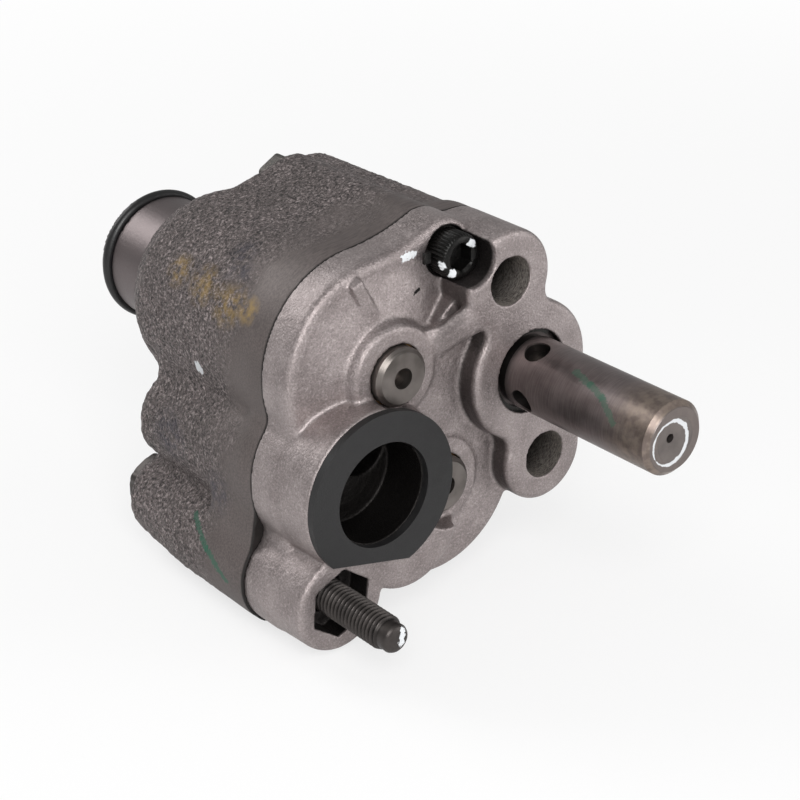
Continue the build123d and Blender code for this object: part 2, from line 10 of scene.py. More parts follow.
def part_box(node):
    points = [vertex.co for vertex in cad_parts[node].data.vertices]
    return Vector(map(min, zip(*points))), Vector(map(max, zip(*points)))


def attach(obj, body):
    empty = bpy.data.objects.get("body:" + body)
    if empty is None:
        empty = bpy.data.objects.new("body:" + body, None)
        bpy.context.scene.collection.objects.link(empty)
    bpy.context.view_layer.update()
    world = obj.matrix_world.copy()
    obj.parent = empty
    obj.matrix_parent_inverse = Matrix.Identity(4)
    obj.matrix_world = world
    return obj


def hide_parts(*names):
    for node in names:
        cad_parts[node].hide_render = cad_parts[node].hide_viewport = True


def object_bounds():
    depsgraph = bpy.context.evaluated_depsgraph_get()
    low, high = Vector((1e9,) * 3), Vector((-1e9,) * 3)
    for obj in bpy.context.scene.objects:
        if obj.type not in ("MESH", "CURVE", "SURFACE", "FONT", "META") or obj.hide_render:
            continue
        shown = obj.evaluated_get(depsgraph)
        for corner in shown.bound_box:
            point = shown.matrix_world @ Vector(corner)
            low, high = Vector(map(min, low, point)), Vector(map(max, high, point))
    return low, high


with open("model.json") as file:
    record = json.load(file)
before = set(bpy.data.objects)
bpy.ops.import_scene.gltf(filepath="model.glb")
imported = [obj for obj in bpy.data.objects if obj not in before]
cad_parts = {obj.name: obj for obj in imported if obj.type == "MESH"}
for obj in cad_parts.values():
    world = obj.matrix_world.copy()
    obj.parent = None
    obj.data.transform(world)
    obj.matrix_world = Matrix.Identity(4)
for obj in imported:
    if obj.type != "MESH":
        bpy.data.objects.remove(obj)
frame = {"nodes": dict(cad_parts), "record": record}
cad_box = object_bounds()

# All lengths are in metres, in the frame's own axes: +Y runs back along the drive shaft.
MM = 0.001
HOUSING = "housing"

# Places on the housing, read from the pieces that stand in them
drive_low, drive_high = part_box("drive_shaft")
idler_low, idler_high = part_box("idler_shaft")
sleeve_low, sleeve_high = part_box("valve_sleeve")
screw_low, screw_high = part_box("cover_screw")
bolt_low, bolt_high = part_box("mounting_bolt")


def middle(low, high):
    """Centre of a box across the drive axis, as (x, z)."""
    return ((low[0] + high[0]) / 2, (low[2] + high[2]) / 2)


drive_axis = middle(drive_low, drive_high)
idler_axis = middle(idler_low, idler_high)
valve_axis = middle(sleeve_low, sleeve_high)
screw_axis = middle(screw_low, screw_high)
bolt_axis = middle(bolt_low, bolt_high)
mounts = {mount["name"]: mount for mount in frame["record"]["mounts"]}


def mount_axis(name):
    """Centre of a stated bore or pin across the drive axis, as (x, z)."""
    place = mounts[name]["pos_m"]
    return (place[0], place[2])


def mount_radius(name):
    return mounts[name]["dims"]["r_mm"] * MM


def mount_length(name):
    return mounts[name]["dims"]["length_mm"] * MM


inlet_axis = mount_axis("inlet_port")
inlet_r = mount_radius("inlet_port")
INLET_FLOOR_Y = mount_length("inlet_port")
MOUNT_HOLES = ("upper_mount_hole", "lower_mount_hole")
JOINT_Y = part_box("front_cover")[1][1]
SPIGOT_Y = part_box("pump_body")[1][1]
SHOULDER_Y = SPIGOT_Y - 30.4 * MM
BUSH_R = (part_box("front_drive_bush")[1][0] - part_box("front_drive_bush")[0][0]) / 2
BUSH_SEAT_Y = 6 * MM
SHAFT_HOLE_R = 8.9 * MM
SHAFT_HOLE_Y = 5 * MM
SHAFT_POCKET_R = 9.9 * MM
SHAFT_POCKET_Y = 6.3 * MM
HEX_POCKET_FLATS = 17.8 * MM
HEX_POCKET_TURN = math.radians(24.5)
HEX_POCKET_DEPTH = 8 * MM
SCREW_SEAT_R = 7.2 * MM
SCREW_SEAT_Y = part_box("cover_screw_washer")[1][1]
VALVE_BORE_R = (sleeve_high[0] - sleeve_low[0]) / 2
VALVE_BORE_DEPTH = 14 * MM

# Bores whose walls get painted shade, as (axis, radius, front edge, how dark). The pocket's
# radius reaches into its corners.
SHADED_BORES = [
    (inlet_axis, inlet_r + 0.3 * MM, -1.0 * MM, 0.97),
    (valve_axis, VALVE_BORE_R + 1.0 * MM, 0.3 * MM, 0.85),
    (bolt_axis, HEX_POCKET_FLATS / 2 * 1.17, 0.4 * MM, 0.92),
    (screw_axis, SCREW_SEAT_R, 1.6 * MM, 0.72),
    (drive_axis, SHAFT_POCKET_R, SHAFT_POCKET_Y, 0.8),
    (idler_axis, SHAFT_POCKET_R, SHAFT_POCKET_Y, 0.8),
]

# Marks of paint and marker on the real surfaces, where they lie, and one line of painted shade
WHITE_SPOT = (-29.6 * MM, 56.3 * MM, -7.0 * MM)
YELLOW_SMUDGES = [
    ((-25.0 * MM, 70.5 * MM, 16.5 * MM), 6 * MM),
    ((-25.5 * MM, 58.0 * MM, 16.0 * MM), 7 * MM),
    ((-26.5 * MM, 45.0 * MM, 15.0 * MM), 8 * MM),
    ((-26.6 * MM, 36.0 * MM, 16.0 * MM), 5 * MM),
]
BLUE_SMUDGES = [
    ((-17.0 * MM, 51.0 * MM, 25.5 * MM), 6 * MM),
    ((-22.0 * MM, 46.5 * MM, 21.5 * MM), 6 * MM),
    ((-34.0 * MM, 66.5 * MM, -30.5 * MM), 10 * MM),
    ((-34.8 * MM, 42.0 * MM, -38.0 * MM), 8 * MM),
]
GREEN_BODY_STROKES = [
    ((-36.2 * MM, 51.2 * MM, -48.8 * MM), (-39.3 * MM, 42.2 * MM, -54.5 * MM)),
    ((-39.3 * MM, 42.2 * MM, -54.5 * MM), (-40.0 * MM, 31.8 * MM, -60.1 * MM)),
]
GREEN_SLEEVE_STROKES = [
    ((38.5 * MM, -22.5 * MM, 0.0), (37.3 * MM, -29.2 * MM, -0.8 * MM)),
    ((37.3 * MM, -29.2 * MM, -0.8 * MM), (35.8 * MM, -35.4 * MM, -2.1 * MM)),
    ((35.8 * MM, -35.4 * MM, -2.1 * MM), (33.4 * MM, -42.2 * MM, -6.4 * MM)),
]
# A dark line of painted shade where a narrow slot in the cover would be
SLOT_SHADE = ((10.2 * MM, 11.3 * MM, 18.9 * MM), (12.4 * MM, 11.6 * MM, 19.9 * MM))
COVER_DAB = ((8.1 * MM, 12.2 * MM, 29.6 * MM), (10.9 * MM, 12.2 * MM, 29.9 * MM))
BOLT_TIP_DAB = (
    (bolt_axis[0] + 1.9 * MM, bolt_low[1], bolt_axis[1] + 3.0 * MM),
    (bolt_axis[0] + 1.2 * MM, bolt_low[1], bolt_axis[1] - 1.2 * MM),
)
SCREW_DABS_MM = ((25.6, 5.8, 31.2), (19.0, 5.8, 24.3), (16.2, 7.2, 27.0))

# ---------------------------------------------------------------- materials


class Shader:
    """A Principled material with short calls for its procedural nodes."""

    def __init__(self, name, roughness, metallic):
        self.material = bpy.data.materials.new(name)
        self.material.use_nodes = True
        self.tree = self.material.node_tree
        self.surface = self.tree.nodes["Principled BSDF"]
        self.surface.inputs["Roughness"].default_value = roughness
        self.surface.inputs["Metallic"].default_value = metallic
        self.place = self.tree.nodes.new("ShaderNodeTexCoord").outputs["Object"]

    def node(self, kind, **values):
        made = self.tree.nodes.new(kind)
        for name, value in values.items():
            setattr(made, name, value)
        return made

    def feed(self, socket, value):
        """Link a socket, or set a plain value."""
        if isinstance(value, bpy.types.NodeSocket):
            self.tree.links.new(value, socket)
        else:
            socket.default_value = value

    def stretched(self, scale):
        """Coordinates scaled along each axis, for grain that runs one way."""
        made = self.node("ShaderNodeVectorMath", operation="MULTIPLY")
        self.feed(made.inputs[0], self.place)
        made.inputs[1].default_value = scale
        return made.outputs[0]

    def noise(self, size, detail=4.0, rough=0.55, place=None, distortion=0.0):
        """Fractal noise whose features are about the given size in metres."""
        made = self.node("ShaderNodeTexNoise")
        self.feed(made.inputs["Vector"], place or self.place)
        made.inputs["Scale"].default_value = 1.0 / size
        made.inputs["Detail"].default_value = detail
        made.inputs["Roughness"].default_value = rough
        made.inputs["Distortion"].default_value = distortion
        return made.outputs["Fac"]

    def ramp(self, value, low, high, start=0.0, end=1.0):
        """Map a value between two limits on to start to end, clamped."""
        made = self.node("ShaderNodeMapRange")
        self.feed(made.inputs["Value"], value)
        made.inputs["From Min"].default_value = low
        made.inputs["From Max"].default_value = high
        made.inputs["To Min"].default_value = start
        made.inputs["To Max"].default_value = end
        return made.outputs["Result"]

    def maths(self, operation, first, second=0.0):
        made = self.node("ShaderNodeMath", operation=operation)
        self.feed(made.inputs[0], first)
        self.feed(made.inputs[1], second)
        return made.outputs[0]

    def times(self, first, *others):
        """The product of two or more values."""
        for other in others:
            first = self.maths("MULTIPLY", first, other)
        return first

    def mix(self, share, first, second):
        """Mix two colours, which are the node's sockets 6 and 7."""
        made = self.node("ShaderNodeMix", data_type="RGBA")
        self.feed(made.inputs[0], share)
        self.feed(made.inputs[6], first)
        self.feed(made.inputs[7], second)
        return made.outputs[2]

    def facing(self, name):
        """How much a surface faces along X, Y or Z."""
        made = self.node("ShaderNodeSeparateXYZ")
        self.feed(made.inputs[0], self.node("ShaderNodeNewGeometry").outputs["Normal"])
        return made.outputs[name]

    def axis(self, name):
        """One of the coordinates X, Y or Z."""
        made = self.node("ShaderNodeSeparateXYZ")
        self.feed(made.inputs[0], self.place)
        return made.outputs[name]

    def radius(self, centre):
        """Distance from an axis parallel to the drive axis."""
        x = self.maths("SUBTRACT", self.axis("X"), centre[0])
        z = self.maths("SUBTRACT", self.axis("Z"), centre[1])
        squares = self.maths("ADD", self.times(x, x), self.times(z, z))
        return self.maths("SQRT", squares)

    def inside(self, centre, radius):
        """1 inside a bore and on its wall, and 0 beyond it."""
        return self.ramp(self.radius(centre), radius + 0.3 * MM, radius + 0.1 * MM)

    def distance(self, point):
        """Distance from a point."""
        made = self.node("ShaderNodeVectorMath", operation="DISTANCE")
        self.feed(made.inputs[0], self.place)
        made.inputs[1].default_value = point
        return made.outputs["Value"]

    def near(self, point, reach, ragged):
        """1 within reach of a point and 0 outside it, with a ragged edge."""
        wobble = self.ramp(self.noise(1.2 * MM, 3.0), 0.3, 0.7, -ragged, ragged)
        away = self.maths("ADD", self.distance(point), wobble)
        return self.ramp(away, reach, reach - 0.3 * MM)

    def stroke(self, start, end, width):
        """1 within half a width of the line between two points: a dab of a brush."""
        run = [e - s for s, e in zip(start, end)]
        length = math.sqrt(sum(r * r for r in run))
        away = self.node("ShaderNodeVectorMath", operation="SUBTRACT")
        self.feed(away.inputs[0], self.place)
        away.inputs[1].default_value = start
        along = self.node("ShaderNodeVectorMath", operation="DOT_PRODUCT")
        self.feed(along.inputs[0], away.outputs[0])
        along.inputs[1].default_value = [r / length for r in run]
        inside = self.ramp(along.outputs["Value"], 0.0, length, 0.0, 1.0)
        nearest = self.node("ShaderNodeVectorMath", operation="SCALE")
        nearest.inputs[0].default_value = run
        self.feed(nearest.inputs["Scale"], inside)
        gap = self.node("ShaderNodeVectorMath", operation="DISTANCE")
        self.feed(gap.inputs[0], away.outputs[0])
        self.feed(gap.inputs[1], nearest.outputs[0])
        wobble = self.ramp(self.noise(0.9 * MM, 3.0), 0.3, 0.7, -0.25 * width, 0.25 * width)
        ragged = self.maths("ADD", gap.outputs["Value"], wobble)
        return self.ramp(ragged, width / 2, width / 2 - 0.2 * MM)

    def smudge(self, point, reach, strength):
        """A soft, broken patch of colour around a point."""
        soft = self.ramp(self.distance(point), reach, 0.35 * reach)
        broken = self.ramp(self.noise(2.5 * MM, 3.0), 0.38, 0.62)
        return self.times(soft, broken, strength)

    def rings(self, centre):
        """Coordinates that only change with the distance from an axis, for turning marks."""
        made = self.node("ShaderNodeCombineXYZ")
        self.feed(made.inputs["X"], self.radius(centre))
        return made.outputs[0]

    def colour(self, value):
        self.feed(self.surface.inputs["Base Color"], value)

    def roughness(self, value):
        self.feed(self.surface.inputs["Roughness"], value)

    def metal(self, value):
        self.feed(self.surface.inputs["Metallic"], value)

    def bump(self, height, depth):
        """Raise the surface by height, which runs from 0 to 1, times depth."""
        made = self.node("ShaderNodeBump")
        made.inputs["Distance"].default_value = depth
        self.feed(made.inputs["Height"], height)
        self.feed(self.surface.inputs["Normal"], made.outputs[0])


def rgb(red, green, blue):
    """A colour given in display values, as the render shows it."""
    shown = (red, green, blue)
    linear = [((c + 0.055) / 1.055) ** 2.4 if c > 0.04045 else c / 12.92 for c in shown]
    return (*linear, 1.0)


WHITE = rgb(0.86, 0.87, 0.88)
GREEN = rgb(0.10, 0.32, 0.24)
YELLOW = rgb(0.62, 0.50, 0.22)
BLUE = rgb(0.13, 0.13, 0.20)
# Painted shade for recesses and for the insides of bores
RECESS_SHADE = rgb(0.16, 0.15, 0.145)
BORE_SHADE = rgb(0.10, 0.095, 0.09)
SHADOW = rgb(0.07, 0.065, 0.06)


def cast_iron():
    """Sand-cast skin of coarse grains, with painted shade in their hollows and a painted highlight
    on their crests, a smoother dressed band beside the joint, and a painted shadow along the joint.
    """
    made = Shader("cast_iron_skin", 0.5, 0.45)
    edge = made.ramp(made.noise(16 * MM, 2.0), 0.3, 0.7, -9 * MM, 9 * MM)
    back = made.maths("ADD", made.axis("Y"), edge)
    coarse = made.ramp(back, JOINT_Y + 10 * MM, JOINT_Y + 26 * MM)
    turned = made.ramp(made.axis("Y"), SHOULDER_Y, SHOULDER_Y + 0.2 * MM)
    grain = made.noise(0.85 * MM, 3.0, 0.62, distortion=0.6)
    fine = made.noise(0.45 * MM, 3.0, 0.6)
    patches = made.ramp(made.noise(15 * MM, 3.0), 0.3, 0.7)
    scratches = made.noise(0.5 * MM, 2.0, 0.5, made.stretched((0.08, 1.0, 1.0)))
    # The grain's hollows get painted shade and its crests a painted highlight
    pit_shade, plain, crest_highlight = rgb(0.165, 0.15, 0.15), rgb(0.405, 0.37, 0.365), rgb(0.67, 0.625, 0.62)
    pit_shaded = made.mix(made.ramp(grain, 0.36, 0.5), pit_shade, plain)
    skin = made.mix(made.ramp(grain, 0.54, 0.66), pit_shaded, crest_highlight)
    groove, ridge = rgb(0.335, 0.305, 0.30), rgb(0.42, 0.385, 0.375)
    dressed = made.mix(made.ramp(scratches, 0.3, 0.7), groove, ridge)
    for name in (*MOUNT_HOLES, "delivery_port"):
        wall = mount_radius(name)
        outside = made.ramp(made.radius(mount_axis(name)), wall + 0.1 * MM, wall + 0.4 * MM)
        coarse = made.times(coarse, outside)
    both = made.mix(coarse, dressed, skin)
    shaded = made.mix(made.times(patches, 0.3), both, rgb(0.25, 0.235, 0.225))
    bright = made.mix(fine, rgb(0.40, 0.37, 0.37), rgb(0.47, 0.435, 0.435))
    made.colour(made.mix(turned, shaded, bright))
    made.metal(made.ramp(turned, 0.0, 1.0, 0.45, 0.9))
    made.roughness(made.ramp(turned, 0.0, 1.0, 0.52, 0.42))
    rough = made.times(coarse, made.ramp(turned, 0.0, 1.0, 1.0, 0.0))
    depth = made.ramp(rough, 0.0, 1.0, 0.06, 1.0)
    made.bump(made.times(grain, depth), 1.1 * MM)
    seam = made.ramp(made.axis("Y"), JOINT_Y + 0.9 * MM, JOINT_Y + 0.3 * MM)
    paint(made, made.times(seam, 0.9), SHADOW, False)
    for place, reach in YELLOW_SMUDGES:
        paint(made, made.smudge(place, reach, 0.55), YELLOW)
    for place, reach in BLUE_SMUDGES:
        paint(made, made.smudge(place, reach, 0.6), BLUE)
    for start, end in GREEN_BODY_STROKES:
        paint(made, made.times(made.stroke(start, end, 2.2 * MM), 0.8), GREEN)
    paint(made, made.near(WHITE_SPOT, 2.2 * MM, 0.5 * MM), WHITE)
    return made.material


def die_cast():
    """Warm grey die-cast metal, with painted shade in its bores, deeper in its mounting holes and
    on walls facing -X.
    """
    made = Shader("die_cast_cover", 0.42, 0.85)
    fine = made.noise(0.55 * MM, 4.0, 0.7)
    specks = made.ramp(made.noise(0.8 * MM, 2.0, 0.6), 0.56, 0.66)
    patches = made.ramp(made.noise(8 * MM, 4.0), 0.35, 0.65)
    mottle = made.ramp(fine, 0.35, 0.65)
    clean = made.mix(mottle, rgb(0.56, 0.525, 0.52), rgb(0.69, 0.65, 0.645))
    stained = made.mix(mottle, rgb(0.45, 0.42, 0.415), rgb(0.58, 0.54, 0.535))
    skin = made.mix(made.times(patches, 0.7), clean, stained)
    made.colour(made.mix(made.times(specks, 0.3), skin, rgb(0.82, 0.775, 0.77)))
    # Painted shade on walls facing -X on the cover's right side, behind its front face
    wall_shade = made.ramp(made.facing("X"), -0.25, -0.8)
    inner = made.ramp(made.axis("X"), 12 * MM, 15 * MM)
    shelf = made.ramp(made.axis("Y"), 1.2 * MM, 2.4 * MM)
    paint(made, made.times(wall_shade, inner, shelf, 0.75), RECESS_SHADE, False)
    # Painted shade on the walls of the bores
    for centre, radius, y_front, darkness in SHADED_BORES:
        deep = made.ramp(made.axis("Y"), y_front, y_front + 0.5 * MM)
        paint(made, made.times(made.inside(centre, radius), deep, darkness), BORE_SHADE, False)
    drilled = made.noise(0.9 * MM, 3.0, 0.6, made.stretched((1.0, 2.5, 1.0)))
    worn = made.mix(made.ramp(drilled, 0.35, 0.65), rgb(0.50, 0.47, 0.455), rgb(0.86, 0.83, 0.80))
    # Painted shade, deeper in the mounting holes
    worn = made.mix(made.ramp(made.axis("Y"), 3 * MM, 15 * MM), worn, RECESS_SHADE)
    for name in MOUNT_HOLES:
        wall = made.ramp(made.axis("Y"), 0.3 * MM, 0.6 * MM)
        inside = made.inside(mount_axis(name), mount_radius(name))
        paint(made, made.times(inside, wall), worn, False)
    rings = made.ramp(made.noise(1.1 * MM, 1.0, 0.5, made.rings(inlet_axis)), 0.5, 0.7)
    on_floor = made.ramp(made.axis("Y"), INLET_FLOOR_Y - 0.4 * MM, INLET_FLOOR_Y - 0.1 * MM)
    in_bore = made.ramp(made.radius(inlet_axis), inlet_r, 14 * MM)
    paint(made, made.times(rings, on_floor, in_bore, 0.35), rgb(0.25, 0.24, 0.23), False)
    made.roughness(made.ramp(fine, 0.3, 0.7, 0.38, 0.52))
    lumps = made.maths("ADD", made.times(fine, 0.6), made.noise(2.2 * MM, 2.0))
    made.bump(lumps, 0.22 * MM)
    # Painted shade for the slot
    paint(made, made.stroke(*SLOT_SHADE, 1.0 * MM), rgb(0.12, 0.11, 0.11), False)
    paint(made, made.stroke(*COVER_DAB, 2.6 * MM), WHITE)
    return made.material


def turned_steel(name, dark, light, roughness=0.3, metallic=0.9, groove=0.35 * MM):
    """Turned or ground steel, with fine rings about its axis."""
    made = Shader(name, roughness, metallic)
    rings = made.noise(groove, 2.0, 0.5, made.stretched((0.05, 1.0, 0.05)))
    patches = made.noise(6 * MM, 3.0)
    tone = made.maths("ADD", made.times(rings, 0.5), made.times(patches, 0.5))
    made.colour(made.mix(made.ramp(tone, 0.35, 0.65), dark, light))
    made.roughness(made.ramp(patches, 0.3, 0.7, roughness - 0.05, roughness + 0.08))
    made.bump(rings, 0.02 * MM)
    return made


def rubber(name, tone, sheen):
    """Moulded rubber with a faint bloom."""
    made = Shader(name, sheen, 0.0)
    bloom = made.ramp(made.noise(5 * MM, 4.0), 0.35, 0.7)
    fine = made.noise(0.5 * MM, 3.0)
    dusty = rgb(tone * 1.25, tone * 1.2, tone * 1.24)
    made.colour(made.mix(bloom, rgb(tone, tone * 0.97, tone), dusty))
    made.roughness(made.ramp(bloom, 0.0, 1.0, sheen, sheen + 0.12))
    made.bump(fine, 0.05 * MM)
    return made.material


def dark_oxide(name, tone, roughness):
    """Black or phosphated steel, worn brighter in fine specks."""
    made = Shader(name, roughness, 0.7)
    fine = made.noise(0.6 * MM, 4.0, 0.65)
    worn = made.ramp(fine, 0.55, 0.72)
    rubbed = rgb(tone * 2.0, tone * 1.9, tone * 1.8)
    made.colour(made.mix(worn, rgb(tone, tone * 0.97, tone * 0.94), rubbed))
    made.roughness(made.ramp(fine, 0.3, 0.7, roughness - 0.08, roughness + 0.1))
    made.bump(fine, 0.03 * MM)
    return made


def paint(made, share, tone, flat=True):
    """Lay a colour over a shader's own where share is 1; a flat one also hides the metal."""
    below = made.surface.inputs["Base Color"].links[0].from_socket
    made.colour(made.mix(share, below, tone))
    if not flat:
        return
    socket = made.surface.inputs["Metallic"]
    steel = socket.links[0].from_socket if socket.links else socket.default_value
    made.metal(made.times(steel, made.ramp(share, 0.0, 1.0, 1.0, 0.0)))


# ---------------------------------------------------------------- mesh tools


def finished(node, material):
    """Give a CAD node its material."""
    mesh = frame["nodes"][node].data
    mesh.materials.clear()
    mesh.materials.append(material)


def new_piece(name, mesh, body, node, material, smooth=True):
    """A mesh piece that rides a body and takes the place of a CAD node."""
    piece = bpy.data.objects.new(name, mesh)
    bpy.context.scene.collection.objects.link(piece)
    mesh.materials.clear()
    mesh.materials.append(material)
    mesh.polygons.foreach_set("use_smooth", [smooth] * len(mesh.polygons))
    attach(piece, body)
    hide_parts(node)
    return piece


def hexagon_radius(flats, turn):
    """Radius of a hexagon as a function of the angle, with a corner at the given turn."""

    def radius(angle):
        return flats / 2 / np.cos(np.mod(angle - turn, math.pi / 3) - math.pi / 6)

    return radius


def limited(radius, most):
    """A radius function that stays within a circle, as a turned chamfer leaves it."""
    return lambda angle: np.minimum(radius(angle), most)


def turned_mesh(name, rings, centre, count, closed=False):
    """A surface of rings (y, radius) about an axis parallel to the drive axis.

    A radius is a number or a function of the angle. The ends are capped, or joined to
    each other if the surface is closed.
    """
    angle = np.arange(count) * 2 * math.pi / count
    rows = []
    for y, radius in rings:
        r = radius(angle) if callable(radius) else np.full(count, radius)
        x, z = centre[0] + r * np.cos(angle), centre[1] + r * np.sin(angle)
        rows.append(np.stack((x, np.full(count, y), z), 1))
    faces = []
    pairs = len(rings) if closed else len(rings) - 1
    for row in range(pairs):
        here, there = row * count, (row + 1) % len(rings) * count
        for k in range(count):
            after = (k + 1) % count
            faces.append((here + k, here + after, there + after, there + k))
    if not closed:
        faces.append(tuple(range(count)))
        faces.append(tuple(range((len(rings) - 1) * count, len(rings) * count)))
    mesh = bpy.data.meshes.new(name)
    mesh.from_pydata(np.concatenate(rows).tolist(), [], faces)
    work = bmesh.new()
    work.from_mesh(mesh)
    bmesh.ops.recalc_face_normals(work, faces=work.faces)
    work.to_mesh(mesh)
    work.free()
    return mesh


def crisp(piece, degrees):
    """Keep edges that turn by more than an angle sharp."""
    piece.data.set_sharp_from_angle(angle=math.radians(degrees))


def remeshed(node, voxel):
    """A copy of a CAD node's mesh, rebuilt from even cells."""
    source = frame["nodes"][node]
    work = bpy.data.objects.new(node + "_work", source.data.copy())
    bpy.context.scene.collection.objects.link(work)
    even = work.modifiers.new("even", "REMESH")
    even.mode = "VOXEL"
    even.voxel_size = voxel
    deps = bpy.context.evaluated_depsgraph_get()
    mesh = bpy.data.meshes.new_from_object(work.evaluated_get(deps))
    bpy.data.objects.remove(work)
    mesh.name = node + "_cast"
    return mesh


def points_of(mesh):
    places = np.empty(len(mesh.vertices) * 3)
    mesh.vertices.foreach_get("co", places)
    return places.reshape(-1, 3)


def normals_of(mesh):
    normals = np.empty(len(mesh.vertices) * 3)
    mesh.vertex_normals.foreach_get("vector", normals)
    return normals.reshape(-1, 3)


def move_points(mesh, places):
    mesh.vertices.foreach_set("co", places.ravel())
    mesh.update()


def neighbours(mesh, chosen=None):
    """Each point's index beside each neighbour's, along all edges or those between chosen ones."""
    edges = np.empty(len(mesh.edges) * 2, dtype=np.int64)
    mesh.edges.foreach_get("vertices", edges)
    edges = edges.reshape(-1, 2)
    if chosen is not None:
        edges = edges[chosen[edges].all(axis=1)]
    return edges.T.ravel(), edges[:, ::-1].T.ravel()


def relax(mesh, free, rounds):
    """Smooth a mesh by moving each point toward its neighbours' mean, by its share of free."""
    places = points_of(mesh)
    ends, others = neighbours(mesh)
    count = np.bincount(ends, minlength=len(places))[:, None]
    for _ in range(rounds):
        sums = np.stack(
            [np.bincount(ends, weights=places[others, i], minlength=len(places)) for i in range(3)],
            axis=1,
        )
        places += (sums / count - places) * (0.5 * free)[:, None]
    move_points(mesh, places)


def even_outline(mesh, share, rounds):
    """Smooth a wall within the joint's plane, by its share, so that its outline runs even."""
    places = points_of(mesh)
    on_wall = np.abs(normals_of(mesh)[:, 1]) < 0.9
    ends, others = neighbours(mesh, on_wall)
    count = np.bincount(ends, minlength=len(places))
    share = np.where(count > 1, share, 0.0)
    for _ in range(rounds):
        for i in (0, 2):
            sums = np.bincount(ends, weights=places[others, i], minlength=len(places))
            places[:, i] += (sums / np.maximum(count, 1) - places[:, i]) * 0.5 * share
    move_points(mesh, places)


def off_axis(places, centre):
    """Distance of each point from an axis parallel to the drive axis."""
    return np.hypot(places[:, 0] - centre[0], places[:, 2] - centre[1])


def wall_radius(places, centre, radius):
    """A bore's radius at each point's angle; a bore may be round or a function."""
    if not callable(radius):
        return radius
    return radius(np.arctan2(places[:, 2] - centre[1], places[:, 0] - centre[0]))


def kept_near(places, bores, margin):
    """1 where a point is free to move, falling to 0 on the walls of the given bores."""
    free = np.ones(len(places))
    for centre, radius, y_front, y_rear in bores:
        gap = np.abs(off_axis(places, centre) - wall_radius(places, centre, radius))
        along = (places[:, 1] > y_front - margin) & (places[:, 1] < y_rear + margin)
        share = np.clip((gap - 0.5 * margin) / (0.5 * margin), 0, 1)
        free = np.where(along, np.minimum(free, share), free)
    return free


def true_bores(mesh, bores, reach):
    """Bring points that are near a bore's wall exactly on to it."""
    places = points_of(mesh)
    for centre, radius, y_front, y_rear in bores:
        away = off_axis(places, centre)
        wall = wall_radius(places, centre, radius)
        on = (np.abs(away - wall) < reach) & (places[:, 1] > y_front) & (places[:, 1] < y_rear)
        scale = np.where(on, wall / np.maximum(away, 1e-9), 1.0)
        places[:, 0] = centre[0] + (places[:, 0] - centre[0]) * scale
        places[:, 2] = centre[1] + (places[:, 2] - centre[1]) * scale
    move_points(mesh, places)


def roughened(mesh, share, size, depth):
    """Push points in and out along their normals by fractal noise, times each one's share."""
    places = points_of(mesh)
    lift = np.zeros(len(places))
    for k in np.flatnonzero(share > 0):
        lift[k] = noise.fractal(Vector(places[k] / size), 0.6, 2.0, 3)
    places += normals_of(mesh) * (lift * depth * share)[:, None]
    move_points(mesh, places)


# ---------------------------------------------------------------- housing

SPIGOT_BORE_R = 14 * MM
RING_GROOVE_R = 16.7 * MM

# Bores that keep their true walls, as (axis, radius, front end, rear end)
through_bores = [
    (mount_axis(name), mount_radius(name), 0.0, mount_length(name)) for name in MOUNT_HOLES
]
cover_bores = through_bores + [
    (inlet_axis, inlet_r, 0.0, INLET_FLOOR_Y),
    (valve_axis, VALVE_BORE_R, 0.0, VALVE_BORE_DEPTH),
    (screw_axis, SCREW_SEAT_R, 4 * MM, SCREW_SEAT_Y),
    (bolt_axis, hexagon_radius(HEX_POCKET_FLATS, HEX_POCKET_TURN), 0.0, HEX_POCKET_DEPTH),
    (drive_axis, BUSH_R, BUSH_SEAT_Y, JOINT_Y),
    (idler_axis, BUSH_R, BUSH_SEAT_Y, JOINT_Y),
    (drive_axis, SHAFT_HOLE_R, SHAFT_HOLE_Y, JOINT_Y),
    (idler_axis, SHAFT_HOLE_R, SHAFT_HOLE_Y, JOINT_Y),
]
body_bores = through_bores + [
    (drive_axis, mount_radius("spigot"), SHOULDER_Y + 1 * MM, SPIGOT_Y),
    (drive_axis, SPIGOT_BORE_R, SPIGOT_Y - 34 * MM, SPIGOT_Y),
    (drive_axis, RING_GROOVE_R, SPIGOT_Y - 6 * MM, SPIGOT_Y - 1.8 * MM),
    (mount_axis("delivery_port"), mount_radius("delivery_port"), JOINT_Y, 66 * MM),
]


def cast_piece(node, material, bores, voxel, rounds, margin, joint_margin):
    """The rounded, cast form of a housing half, with its bores and joint left sharp.

    Points within margin of a bore's wall, or within joint_margin of the joint, move less.
    Returns the piece and how free each point was.
    """
    mesh = remeshed(node, voxel)
    places = points_of(mesh)
    free = kept_near(places, bores, margin)
    from_joint = np.abs(places[:, 1] - JOINT_Y)
    off_joint = np.clip((from_joint - 0.3 * MM) / joint_margin, 0, 1)
    even_outline(mesh, free * (1 - off_joint), rounds)
    free = np.minimum(free, off_joint)
    free = np.where(places[:, 1] > SHOULDER_Y - 0.5 * MM, 0.0, free)
    relax(mesh, free, rounds)
    true_bores(mesh, bores, voxel / 2)
    return new_piece(node + "_cast", mesh, HOUSING, node, material), free


cast_piece(
    "front_cover", die_cast(), cover_bores,
    voxel=0.5 * MM, rounds=9, margin=1.0 * MM, joint_margin=1.2 * MM,
)
body_piece, body_free = cast_piece(
    "pump_body", cast_iron(), body_bores,
    voxel=0.75 * MM, rounds=22, margin=1.6 * MM, joint_margin=2.5 * MM,
)
behind_joint = points_of(body_piece.data)[:, 1] - JOINT_Y
coarse_share = np.clip((behind_joint - 12 * MM) / (14 * MM), 0, 1)
roughened(body_piece.data, body_free * coarse_share, size=2.4 * MM, depth=0.28 * MM)

# ---------------------------------------------------------------- seals

